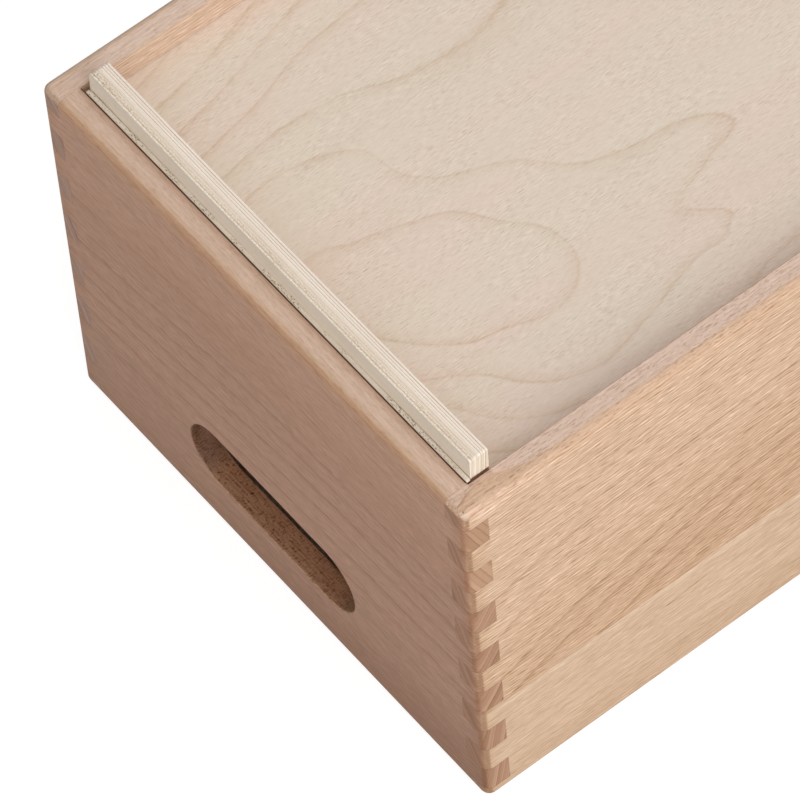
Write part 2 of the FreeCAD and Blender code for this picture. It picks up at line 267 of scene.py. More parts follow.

# runs: 0 along x, 1 along y; outer, half: place of the outer face and half the length, mm; rim, end: their tones;
# rounding, corner: tints of painted shade on the lying and standing roundings; brow: tint of the face just below
# the rim; shoulder: tint of the rim's rounded part; scuffs, nicks: how strong they are; sanded: how far in the rim's
# flat begins, at these distances from the wall's end, mm.
walls = {
    "front": {"runs": 0, "outer": -200, "half": 150,
              "rim": (0.675, 0.484, 0.372), "rounding": (0.93, 0.975, 0.98), "corner": (0.86, 0.80, 0.74),
              "brow": (1.02, 1.02, 0.95), "shoulder": (0.93, 0.89, 0.82), "end": (0.466, 0.267, 0.167),
              "nicks": 0.45, "sanded": [(0, 4.8), (60, 4.0), (200, 3.9)]},
    "rear": {"runs": 0, "outer": 200, "half": 150,
             "rim": (0.68, 0.485, 0.375), "rounding": (0.94, 0.95, 0.93), "corner": (0.86, 0.80, 0.74),
             "brow": (1.0, 0.99, 0.94), "shoulder": (0.93, 0.89, 0.82), "end": (0.50, 0.30, 0.20),
             "nicks": 0.45, "sanded": [(0, 4.8), (60, 4.0), (200, 3.9)]},
    "left": {"runs": 1, "outer": -150, "half": 200,
             "rim": (0.72, 0.535, 0.428), "rounding": (0.90, 0.89, 0.89), "corner": (0.70, 0.61, 0.56),
             "brow": (1.0, 1.0, 1.0), "shoulder": (0.93, 0.89, 0.82), "end": (0.485, 0.305, 0.23),
             "scuffs": 0.2, "nicks": 0.6, "sanded": [(0, 5.0), (16, 5.5), (40, 4.2), (200, 3.9)]},
    "right": {"runs": 1, "outer": 150, "half": 200,
              "rim": (0.72, 0.528, 0.424), "rounding": (0.88, 0.87, 0.885), "corner": (0.70, 0.61, 0.56),
              "brow": (1.02, 1.01, 1.0), "shoulder": (0.90, 0.83, 0.71), "end": (0.455, 0.247, 0.156),
              "scuffs": 1.0, "nicks": 1.0,
              "sanded": [(0, 5.5), (5, 7.0), (10, 9.3), (16, 10.7), (21, 10.3), (26, 9.2), (32, 7.4), (39, 5.2),
                         (55, 4.0), (200, 3.9)]},
}

# slope: how steeply the rings dip into the board, seen on its end; years: rings there for each one drawn on the face;
# late: how dark the ring lines are; band: share of a ring that is late wood; ripple and threads: strength of the
# dashes and of the fine threads along the grain; feather: how far the dashes fray a ring line, mm; shadeBelow: painted
# shade below a ring height, darker downwards; rimGapShade: where the painted shade along the rim's inner edge begins
# and
# ends, mm from the wall's end; paleTop: heights between which the board gets paler; marks: short dark strokes; chips:
# worn spots (place, radius, tone, share)
boards = {
    "front_wall_upper": {
        "figure": frontFigure, "seed": 1, "tone": (0.575, 0.327, 0.218), "slope": 2.3, "years": 1.5, "late": 0.75,
        "band": 0.4, "ripple": 0.18, "threads": 0.24, "feather": 0.35, "shadeBelow": (0.92, 0.88, 0.85),
        "shadeFrom": 210, "shadeTo": 176, "end": (0.534, 0.318, 0.20), "rimGapShade": (13.4, 300)},
    "front_wall_middle": {
        "figure": frontFigure, "seed": 2, "tone": (0.515, 0.283, 0.186), "slope": -1.6, "years": 3.5, "late": 1.4,
        "band": 0.5, "ripple": 0.22, "threads": 0.24, "feather": 0.45},
    "front_wall_lower": {
        "figure": frontFigure, "seed": 3, "tone": (0.475, 0.262, 0.170), "slope": -5.0, "years": 1.6, "late": 0.9,
        # painted shade: the lower board darkens towards the foot
        "band": 0.5, "ripple": 0.22, "threads": 0.24, "feather": 0.4, "shadeBelow": (0.78, 0.70, 0.62),
        "shadeFrom": 58, "shadeTo": 0},
    "rear_wall_upper": {
        "figure": plainFigure, "seed": 4, "tone": (0.60, 0.375, 0.265), "slope": -2.0, "years": 3, "late": 0.8,
        "band": 0.4, "ripple": 0.25, "threads": 0.18, "feather": 0.4},
    "rear_wall_middle": {
        "figure": frontFigure, "seed": 5, "tone": (0.62, 0.39, 0.27), "slope": 1.8, "years": 3.5, "late": 1.0,
        "band": 0.5, "ripple": 0.28, "threads": 0.20, "feather": 0.4},
    "rear_wall_lower": {
        "figure": plainFigure, "seed": 6, "tone": (0.58, 0.355, 0.25), "slope": 3.0, "years": 2, "late": 0.8,
        "band": 0.5, "ripple": 0.25, "threads": 0.18, "feather": 0.4},
    "left_wall_upper": {
        "figure": sideFigure, "seed": 7, "tone": (0.645, 0.47, 0.35), "slope": 1.4, "years": 5, "late": 0.8,
        "band": 0.5, "ripple": 0.16, "threads": 0.30, "feather": 0.4},
    "left_wall_lower": {
        "figure": plainFigure, "seed": 8, "tone": (0.66, 0.46, 0.335), "slope": 2.2, "years": 4, "late": 0.6,
        "band": 0.5, "ripple": 0.2, "threads": 0.16, "feather": 0.4},
    "right_wall_upper": {
        "figure": sideFigure, "seed": 9, "tone": (0.718, 0.489, 0.334), "slope": -1.3, "years": 6, "late": 1.1,
        "band": 0.55, "ripple": 0.13, "threads": 0.42, "feather": 0.3, "shadeBelow": (0.90, 0.85, 0.79),
        "shadeFrom": 185, "shadeTo": 95, "rimGapShade": (12.6, 26),
        "marks": [(-102, -94, 70.2, 72.0, 0.5, 0.35), (-88, -76, 72.8, 75.2, 0.5, 0.4),
                  (-29, -16, 78.0, 80.0, 0.5, 0.3)],
        "chips": [((148.4, -197.6, 229.6), 2.0, (0.72, 0.60, 0.51), 0.5),
                  ((147.0, -197.3, 231.3), 0.55, (0.16, 0.09, 0.06), 0.7)]},
    "right_wall_lower": {
        "figure": plainFigure, "seed": 10, "tone": (0.70, 0.49, 0.335), "slope": -1.8, "years": 4, "late": 0.7,
        "band": 0.5, "ripple": 0.17, "threads": 0.18, "feather": 0.4, "shadeBelow": (0.95, 0.93, 0.90),
        "shadeFrom": 30, "shadeTo": 5, "paleTop": (63.5, 66.5, (1.06, 1.10, 1.13)),
        "marks": [(-96, -70, 53.6, 56.2, 0.55, 0.45)]},
}


def ringLine(along, height, figure):  # the height at which the ring line through this spot ends up
    start, end = figure["span"]
    lowest, highest = -20, 60                                           # room for the climbs, mm
    levels = [level for level, _ in figure["curves"]]
    climbs = [along.curve(points, start, end, lowest, highest) for _, points in figure["curves"]]
    climb = climbs[0]
    for low, high, above in zip(levels, levels[1:], climbs[1:]):
        climb = climb + (above - climb) * height.fade(low, high, smooth=False)
    return height + climb


def growthRings(grain, board, inBoard, fibre, dash):  # ring lines on the face, and years on the board's end
    along, height, depth = inBoard
    slope, tilt = board["slope"], math.hypot(1, board["slope"])
    ringHeight = ringLine(along, height, board["figure"]) + depth * slope + grain("wave", inBoard)
    outward = ringHeight / tilt                                         # mm across the rings
    aside = (depth - ringHeight * (slope / tilt ** 2)) * tilt           # mm along a ring, on the board's end
    broad = grain("broad", (along, ringHeight, aside))
    frayed = ringHeight + grain("jag", (along, outward, aside)) + dash * board["feather"]

    rings, below, above = board["figure"]["rings"], 30, 60              # counted on this far past the rings, mm
    start, end, first, last = rings[0][0] - below, rings[-1][0] + above, -3.0, len(rings) + 4.0
    steps = [(start, first)] + [(level, float(k)) for k, (level, _) in enumerate(rings)] + [(end, last)]
    ringCount = frayed.curve(steps, start, end, first, last, "VECTOR")
    strength = ringHeight.curve([(start, 0.5)] + rings + [(end, 0.5)], start, end, 0.0, 1.0, "VECTOR")
    ring = ringCount.fraction()
    wash = ring.fade(1 - board["band"], 1.0) ** 1.6
    late = (wash * beech["ringWash"] + ring.fade(0.86, 0.95) * grain("broken", fibre) * beech["ringLine"]) * strength

    years = ringCount * board["years"]
    yearLate = years.fraction().fade(0.45, 1.0) ** 2
    yearTone = grain("yearTone", (years.floor() * 0.731, along, along))
    return ringHeight, broad, late, yearTone - yearLate * beech["yearDark"]


def fingerLines(along, height, wall):  # 1 on the glue lines of the corner joints
    fromEnd = wall["half"] - abs(along)
    turn = ((beech["height"] - beech["topFinger"] - height) / beech["fingerPitch"]).fraction()
    toEdge = (0.25 - abs((turn * 2).fraction() * 0.5 - 0.25)) * beech["fingerPitch"]
    line, wallThick = beech["jointLine"], beech["wall"]
    level = toEdge.below(line) * fromEnd.below(wallThick)
    own = turn.below(0.5)
    other = own if wall["runs"] else 1 - own                            # the long walls have the top finger
    root = abs(fromEnd - wallThick).below(line) * other
    return level.most(root)


def grainMarks(along, height, marks):  # short dark strokes in the grain
    drawn = 0.0
    for start, end, low, high, half, dark in marks:
        stroke = 1 - abs(height - along.fade(start, end, smooth=False) * (high - low) - low).fade(half * 0.3, half)
        drawn = stroke * along.fade(start, start + 3) * along.fade(end, end - 8) * dark + drawn
    return drawn


def chipShare(grain, axes, place, radius):  # 1 in the middle of a worn spot, 0 outside its ragged edge
    steps = [(axis - middle) / radius for axis, middle in zip(axes, place)]
    return 1 - (steps[0] * steps[0] + steps[1] * steps[1] + steps[2] * steps[2] + grain("chip", axes)).fade(0.2, 1.3)


def weighed(waves, shares):  # the sum of these waves, each times its share
    total = 0.0
    for kind, share in shares.items():
        total = waves[kind] * share + total
    return total


def beechMaterial(name, wall, board):
    sheet = Sheet(bpy.data.materials.new("beech_" + name))
    grain = sheet.grain(beechNoises, board["seed"])
    axes, facing = sheet.spot(), sheet.facing()
    along, height = axes[wall["runs"]], axes[2]
    across, isLong = 1 - wall["runs"], wall["runs"] == 1
    depth = abs(axes[across] - wall["outer"])
    inBoard, cutThrough, rimHeight = (along, height, depth), (along, depth, height), beech["height"]

    def tint(surface, share, shade, blend="MULTIPLY"):
        return sheet.mix(share, surface, colour(*shade), blend)

    # the grain, whose fibres run along the board
    drift = grain("drift", inBoard)
    fibre = (along, height + drift, depth)
    waves = {kind: grain(kind, fibre) for kind in ("hair", "streak", "fine", "pores", "nicks")}
    dash = waves["dash"] = grain("dash", fibre) - 0.5
    swerve = grain("swerve", inBoard) + drift + dash * 0.7
    threads = abs(((height + depth + swerve) / beech["threadPitch"]).fraction() - 0.5) * 4 - 1
    threads = threads * grain("threadSpots", fibre)
    cut = grain("cut", cutThrough)
    ringHeight, waves["broad"], late, yearTone = growthRings(grain, board, inBoard, fibre, dash)

    # where on the board this is
    upright = 1 - abs(facing[2]).fade(0.15, 0.5)
    endGrain = abs(facing[wall["runs"]]).fade(0.55, 0.9) * upright
    lengthwise = 1 - endGrain
    flat = abs(facing[0]).most(abs(facing[1])).most(abs(facing[2]))
    rounded = flat.fade(0.999, 0.80) * lengthwise
    fromEnd = wall["half"] - abs(along)
    onTop = facing[2].fade(0.78, 0.98) * height.fade(rimHeight - 2.0, rimHeight - 0.5)
    sanded = fromEnd.curve(wall["sanded"], 0.0, 200.0, 0.0, 20.0, "VECTOR")
    sanded = sanded + grain("wobble", (along, depth, depth))
    rim = onTop * (depth - sanded).fade(-0.5, 0.7)
    worked = rounded.most(onTop)                                        # planed across the grain, so duller
    waves["nicks"] = waves["nicks"] * worked * wall["nicks"]
    joint = fingerLines(along, height, wall)
    toCorner = fromEnd.most(0.0) + depth.most(0.0) + (rimHeight - height).most(0.0)
    worn = (1 - toCorner.fade(5.0, 11.0)) * rounded

    # the face
    surface = colour(*board["tone"])
    # painted shade: the board darkens downwards below a ring height
    if "shadeBelow" in board:
        surface = tint(surface, ringHeight.fade(board["shadeFrom"], board["shadeTo"]), board["shadeBelow"])
    if "paleTop" in board:
        start, end, tone = board["paleTop"]
        surface = tint(surface, height.fade(start, end), tone)
    surface = tint(surface, late * board["late"], beech["ringTint"])
    # painted shade: the faces darken towards the upright corners
    surface = tint(surface, 1 - fromEnd.fade(3.0, 13.0), beech["shadeNearEnd"])
    surface = tint(surface, height.fade(rimHeight - 12, rimHeight - 6) * (1 - rim), wall["brow"])
    atFront = along.below(0.0)                                          # on a long wall, its front half
    if isLong:
        scuffs = grain("scuffs", fibre) * wall["scuffs"] * (1 - fromEnd.fade(22.0, 60.0)) * atFront
        surface = tint(surface, scuffs * height.fade(218.0, 225.0) * (1 - onTop), beech["scuffed"])

    # the rim
    shoulder = [tone * share for tone, share in zip(wall["rim"], wall["shoulder"])]
    surface = tint(surface, onTop, shoulder, "MIX")
    surface = tint(surface, rim, wall["rim"], "MIX")
    if isLong:
        turnedRim = (1 - fromEnd.fade(5.0, 34.0)) * atFront             # the front rim's tone goes round the corner
        surface = tint(surface, rim * turnedRim, walls["front"]["rim"], "MIX")
        # painted shade along the edge of the rim's flat, near the front corner
        ridgeShade = (1 - abs(depth - sanded).fade(0.1, 0.9)) * (1 - fromEnd.fade(6.0, 20.0)) * atFront * onTop
        surface = tint(surface, ridgeShade * wall["scuffs"], beech["ridgeShade"])
    # painted shade on the rim beside the batten and in the gap at its inner edge
    if "rimGapShade" in board:
        start, end = board["rimGapShade"]
        nearEdge = facing[2].fade(0.3, 0.6) * height.fade(rimHeight - 0.9, rimHeight - 0.7)
        nearEdge = nearEdge * fromEnd.fade(start, start + 0.8) * (1 - fromEnd.fade(end - 2, end))
        # painted shade: the rim darkens towards the batten
        surface = tint(surface, nearEdge * depth.fade(8.0, 12.8), beech["rimShadeByBatten"])
        # painted shade: a dark line in the gap at the rim's inner edge
        surface = tint(surface, nearEdge * depth.fade(12.25, 12.5), beech["rimGapShade"])

    # the roundings and the ends
    # painted shade on the lying roundings
    surface = tint(surface, rounded * (1 - upright), wall["rounding"])
    # painted shade on the standing roundings at the upright corners
    surface = tint(surface, flat.fade(0.9995, 0.93) * upright * lengthwise, wall["corner"])
    surface = tint(surface, endGrain, board.get("end", wall["end"]), "MIX")

    sway = weighed(waves, beech["tones"]) - waves["hair"] * (worked * -0.08 + 0.15) + worn * beech["cornerWear"]
    sway = sway + dash * board["ripple"] * (worked * -0.5 + 1) - threads * board["threads"] * (worked * -0.7 + 1)
    sway = sway * lengthwise + endGrain * (yearTone + cut * beech["sawMarks"]) - joint * beech["jointDark"]
    if "marks" in board:
        sway = sway - grainMarks(along, height, board["marks"]) * lengthwise
    relief = weighed(waves, beech["heights"]) - joint * 0.5 - late * 0.1

    slot, mouth = beech["slot"], abs(facing[across])
    if "_upper" not in name and not isLong:                             # a board with the hand slot
        nearSlot = abs(along - slot["centre"]).below(slot["half"]) * abs(height - slot["middle"]).below(slot["tall"])
        inSlot = (1 - mouth.fade(0.6, 0.95)) * nearSlot
        # painted highlight on the slot's lower lip, where its rounding faces up
        lipHighlight = mouth.fade(0.1, 0.5) * (1 - mouth.fade(0.80, 0.97)) * nearSlot * facing[2].fade(0.1, 0.5)
        # router burn in the slot, with painted light deeper in and painted shade on its left end
        burnShadeAndLight = tint(colour(*beech["burntLip"]), depth.fade(2.0, 9.0), beech["paintedLightDeep"], "MIX")
        burnShadeAndLight = tint(burnShadeAndLight, facing[0].fade(0.1, 0.8), beech["burntEndShade"])
        surface = sheet.mix(inSlot, surface, burnShadeAndLight, "MULTIPLY")
        scorch = grain("scorch", cutThrough)
        sway = sway + inSlot * (cut * 0.8 - scorch * 0.42) + lipHighlight * grain("ragged", cutThrough) * 0.55
        relief = relief - scorch * inSlot * 0.6

    surface = sheet.shaded(surface, sway)
    for place, radius, tone, share in board.get("chips", []):
        surface = tint(surface, chipShare(grain, axes, place, radius) * share, tone, "MIX")
    rough = beech["rough"] + dash * 0.06 + endGrain * 0.12 + worked * 0.08
    return sheet.finish(surface, rough, relief, beech["relief"])


for name, board in boards.items():
    wall = walls[name.split("_")[0]]
    nodes[name].material_slots[0].material = beechMaterial(name, wall, board)
print("beech boards dressed:", len(boards))

veneer = {
    "tone": (0.775, 0.66, 0.545),
    "toneAside": (0.77, 0.625, 0.52),
    "lineTint": (0.83, 0.74, 0.64),
    "glueTint": (0.55, 0.44, 0.34),
    "ply": 1.3,             # mm
    "grid": 2.2,            # mm between the points that carry the figure
    "lineDark": 0.34,       # the thin ring line
    "washDark": 0.42,       # the darker wood that fades away on one side of it
    "washWidth": 9.0,       # mm
    "glueDark": 0.7,        # glue lines on the panel's edges
    "seeds": {"lid": 30, "floor": 40},
    "rough": 0.52,
    "relief": 0.0001,
}
veneerNoises = {
    "broad": {"size": (120, 38, 45), "detail": 2, "rough": 0.5, "draw": 0},
    "streak": {"size": (60, 2.4, 2.4), "detail": 2, "rough": 0.5, "draw": 1},
    "ripple": {"size": (4.5, 0.52, 0.5), "detail": 2, "rough": 0.6, "draw": 2},
    "fleck": {"size": (3.4, 0.5, 0.6), "detail": 1, "rough": 0.5, "draw": 3, "spots": (0.58, 0.76)},
    "jag": {"size": (8, 1.0, 5), "detail": 3, "rough": 0.65, "draw": 4, "reach": 3.2},
    "uneven": {"size": (30, 30, 30), "detail": 1, "rough": 0.5, "draw": 5, "spots": (0.25, 0.65)},
    "patchy": {"size": (34, 22, 22), "detail": 1, "rough": 0.5, "draw": 6, "spots": (0.3, 0.65)},
}

# Figure of the lid's veneer: ring number, then points (x, distance from the front wall's face) in mm.
lidFigure = [
    (-2, [(-130, 37), (-136, 58)]),
    (-1, [(-116, 37), (-122.5, 72), (-131, 98), (-135, 110)]),
    (0, [(-99, 38), (-106, 70), (-117, 105), (-126, 150), (-137, 200)]),
    (1, [(-82, 38), (-87.5, 68), (-98, 100), (-101.5, 125), (-103, 142), (-112, 190), (-128, 250)]),
    (2, [(-67, 38), (-70.5, 63), (-69, 98), (-60, 125), (-56, 145), (-56, 172), (-61, 188), (-72, 240), (-70, 300),
         (-48, 350), (-30, 398)]),
    (3, [(-51, 38), (-52.5, 55), (-47, 80), (-37, 94), (-17, 98), (-4, 111), (3, 128), (10, 142), (25, 155),
         (35, 176), (38.5, 196), (43, 215), (50, 226), (57, 228), (62, 216), (68, 197), (73, 186), (78, 178),
         (85, 189), (92, 197), (97, 190), (101, 174), (106, 152), (114, 126), (118.5, 100), (113, 83), (100, 67),
         (88, 58), (75, 38)]),
    (3.3, [(50, 206), (57, 198), (88, 176), (93, 183), (62, 170)]),
    (2.75, [(68, 214), (78, 191), (74, 202), (86, 203), (98, 206), (50, 240), (32, 205)]),
    (4, [(-8, 38), (-2, 58), (4, 80), (12, 102), (30, 115), (45, 128), (60, 131), (75, 124), (82.5, 110), (82, 97),
         (76, 81), (73, 65), (62, 51), (48, 39)]),
    (4.7, [(28, 58), (44, 78), (50, 94)]),
    (2, [(94, 38), (107, 46), (118, 58), (124, 68), (130, 90), (134, 120), (132, 170), (122, 220), (104, 262),
         (70, 290), (40, 312), (22, 350), (12, 398)]),
    (1, [(128, 44), (139, 70), (140, 200), (136, 270), (118, 330), (108, 398)]),
]


def spread(points, values, where, slack=0.002):  # a smooth surface through scattered values, like a bent thin plate
    tiny = 1e-9

    def kernel(first, second):
        gap = ((first[:, None, :] - second[None, :, :]) ** 2).sum(-1)
        return gap * np.log(gap + tiny) * 0.5

    count = len(points)
    flat = np.c_[np.ones(count), points]
    bend = kernel(points, points) + slack * np.eye(count)
    system = np.block([[bend, flat], [flat.T, np.zeros((3, 3))]])
    weight = np.linalg.solve(system, np.r_[values, 0, 0, 0])
    return kernel(where, points) @ weight[:count] + np.c_[np.ones(len(where)), where] @ weight[count:]


def gridPanel(name, low, high, step):  # a panel whose faces are cut into small squares
    mesh = bmesh.new()
    bmesh.ops.create_cube(mesh, size=1.0)
    for vertex in mesh.verts:
        vertex.co = [low[k] + (vertex.co[k] + 0.5) * (high[k] - low[k]) for k in range(3)]
    for axis in (0, 1):
        cuts = int((high[axis] - low[axis]) / step)
        for cut in range(1, cuts):
            place, normal = Vector((0, 0, 0)), Vector((0, 0, 0))
            place[axis] = low[axis] + (high[axis] - low[axis]) * cut / cuts
            normal[axis] = 1
            everything = mesh.verts[:] + mesh.edges[:] + mesh.faces[:]
            bmesh.ops.bisect_plane(mesh, geom=everything, plane_co=place, plane_no=normal)
    data = bpy.data.meshes.new(name)
    mesh.to_mesh(data)
    mesh.free()
    panel = bpy.data.objects.new(name, data)
    bpy.context.scene.collection.objects.link(panel)
    return panel


def paintFigure(panel, figure, shift):  # the ring number, and how many mm apart the rings are
    places = np.array([vertex.co for vertex in panel.data.vertices])[:, :2] / mm - shift
    points = np.array([spot for _, line in figure for spot in line], float)
    values = np.array([level for level, line in figure for _ in line], float)
    unit, nudge, widest = 100.0, 0.5, 120.0                             # mm
    level = spread(points / unit, values, places / unit)
    slopeX = spread(points / unit, values, (places + (nudge, 0)) / unit) - level
    slopeY = spread(points / unit, values, (places + (0, nudge)) / unit) - level
    apart = nudge / np.maximum(np.hypot(slopeX, slopeY), nudge / widest)
    attribute = panel.data.attributes.new("figure", "FLOAT_VECTOR", "POINT")
    attribute.data.foreach_set("vector", np.c_[level, apart, 0 * level].astype(np.float32).ravel())


def veneerMaterial(name, seed, figured):
    sheet = Sheet(bpy.data.materials.new(name))
    grain = sheet.grain(veneerNoises, seed)
    axes, facing = sheet.spot(), sheet.facing()
    space = (axes[1], axes[0], axes[2])                                 # the grain runs along y
    broad, streak, ripple = [grain(kind, space) for kind in ("broad", "streak", "ripple")]
    patchy, fleck = grain("patchy", space), grain("fleck", space)
    surface = sheet.mix(broad.fade(-0.12, 0.16), colour(*veneer["tone"]), colour(*veneer["toneAside"]))
    if figured:
        level, apart, _ = sheet.part(sheet.add("Attribute", {"attribute_name": "figure"}, {}, "Vector"))
        widest = 40.0                                                   # mm, where the rings lie far apart
        signed = ((level + 0.5).fraction() - 0.5) * apart.least(widest) + grain("jag", space)   # mm from a ring line
        thin = 1 - abs(signed).fade(0.1, 1.3)
        wash = (1 - signed.below(0.0)) * (1 - signed.fade(0.0, veneer["washWidth"], smooth=False)) ** 2
        figure = (thin * veneer["lineDark"] + wash * veneer["washDark"]) * (grain("uneven", space) * 0.6 + 0.4)
        surface = sheet.mix(figure, surface, colour(*veneer["lineTint"]), "MULTIPLY")
    edge = 1 - abs(facing[2]).fade(0.5, 0.8)
    toGlue = 0.5 - abs((axes[2] / veneer["ply"]).fraction() - 0.5)
    glue = edge * (1 - toGlue.fade(0.02, 0.12))
    surface = sheet.mix(glue * veneer["glueDark"], surface, colour(*veneer["glueTint"]), "MULTIPLY")
    sway = broad * 0.13 + streak * 0.10 + ripple * (patchy * 0.34 + 0.26) - fleck * (patchy * 0.09 + 0.03)
    rough, relief = veneer["rough"] + ripple * 0.1, ripple - fleck - glue
    return sheet.finish(sheet.shaded(surface, sway), rough, relief, veneer["relief"])


panelLow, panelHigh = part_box("lid_panel")
lidPanel = gridPanel("lid_panel_veneer", panelLow, panelHigh, veneer["grid"] * mm)
paintFigure(lidPanel, lidFigure, (0, cadBounds[0].y / mm))
lidPanel.data.materials.append(veneerMaterial("lid_veneer", veneer["seeds"]["lid"], True))
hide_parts("lid_panel")
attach(lidPanel, "lid")
floorVeneer = veneerMaterial("floor_veneer", veneer["seeds"]["floor"], False)
nodes["floor_panel"].material_slots[0].material = floorVeneer
print("panels dressed:", len(lidPanel.data.vertices), "points carry the lid's figure")

batten = {
    "plies": 9,
    "frontPly": 1.9,        # thickness of the front ply, which stands a little proud, mm
    "proud": 0.3,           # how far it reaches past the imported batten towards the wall, mm
    "ledge": 17.0,          # height of the front ply, mm
    "shorter": 1.2,         # how much shorter than the front ply the others are, mm
    "endRounds": {"left": 2.3, "right": 1.3},
    "glueGap": 0.03,        # mm between two plies
    "ease": 0.14,           # rounding of each ply's edges, mm
    "sharp": 1.4,           # edges bent more than this are eased, radians
    "roundSteps": 6,
    "pieces": 16,           # lengths that a ply is cut up into
    "unevenness": 0.03,     # mm up or down from ply to ply
    "lean": 0.05,           # how far the top leans back in the middle, mm
    "bow": 0.75,            # how much more it leans back at the ends, mm
    "leanFrom": 0.58,       # share of the height where the lean begins
    "reach": 136.0,         # from the middle to the ends, mm
    "seed": 4,              # of the plies' heights
    "noiseSeed": 60,
    "face": (0.88, 0.777, 0.64),
    "ledgeTone": (0.775, 0.683, 0.567),
    "tops": [(0.79, 0.67, 0.54), (0.80, 0.685, 0.56), (0.90, 0.785, 0.675)],    # front, middle and rear plies
    "endTint": (0.985, 0.98, 0.975),
    "battenGapShade": (0.30, 0.19, 0.13),     # painted shade: thin dark band just below the rim, in the gap beside the walls
    # how dark each glue line is, from the front
    "glueLines": [(0, 0.0), (1, 0.06), (2, 0.55), (3, 0.12), (4, 0.05), (5, 0.08), (6, 0.7), (7, 0.45), (8, 1.0),
                  (9, 0.0)],
    "rough": 0.55,
    "relief": 0.00012,      # metres
}
battenNoises = {
    "long": {"size": (24, 0.45, 2.0), "detail": 2, "rough": 0.5, "draw": 0},
    "coarse": {"size": (1.0, 0.6, 2.4), "detail": 2, "rough": 0.6, "draw": 1},
    "specks": {"size": (1.1, 0.5, 1.6), "detail": 1, "rough": 0.5, "draw": 2, "spots": (0.55, 0.64)},
    "broad": {"size": (40, 12, 12), "detail": 2, "rough": 0.5, "draw": 3},
    "patches": {"size": (12, 30, 30), "detail": 1, "rough": 0.5, "draw": 4, "spots": (0.42, 0.60)},
}


def plyMesh(length, tall, thick):  # one ply on edge, its rear face at 0 and its top ends rounded
    half, steps, pieces = length / 2, batten["roundSteps"], batten["pieces"]
    outline = [(-half, 0), (half, 0)]
    for side, first, end in ((1, 0, "right"), (-1, 90, "left")):
        radius = batten["endRounds"][end] * mm
        for step in range(steps + 1):
            angle = math.radians(first + 90 * step / steps)
            x = side * (half - radius) + radius * math.cos(angle)
            outline.append((x, tall - radius + radius * math.sin(angle)))
    mesh = bmesh.new()
    ring = [mesh.verts.new((x, -thick, z)) for x, z in outline]
    face = mesh.faces.new(ring)
    grown = bmesh.ops.extrude_face_region(mesh, geom=[face])["geom"]
    back = [item for item in grown if isinstance(item, bmesh.types.BMVert)]
    bmesh.ops.translate(mesh, vec=(0, thick, 0), verts=back)
    for cut in range(1, pieces):                                        # cut up lengthwise, so that it can bow
        everything = mesh.verts[:] + mesh.edges[:] + mesh.faces[:]
        place = (half * (cut / pieces * 2 - 1), 0, 0)
        bmesh.ops.bisect_plane(mesh, geom=everything, plane_co=place, plane_no=(1, 0, 0))
    bmesh.ops.recalc_face_normals(mesh, faces=mesh.faces[:])
    sharp = [edge for edge in mesh.edges if edge.calc_face_angle(0) > batten["sharp"]]
    rims = [edge for edge in sharp if min(vertex.co.z for vertex in edge.verts) > 0]
    bmesh.ops.bevel(mesh, geom=rims, offset=batten["ease"] * mm, segments=2, affect="EDGES", clamp_overlap=True)
    data = bpy.data.meshes.new("ply")
    mesh.to_mesh(data)
    mesh.free()
    return data


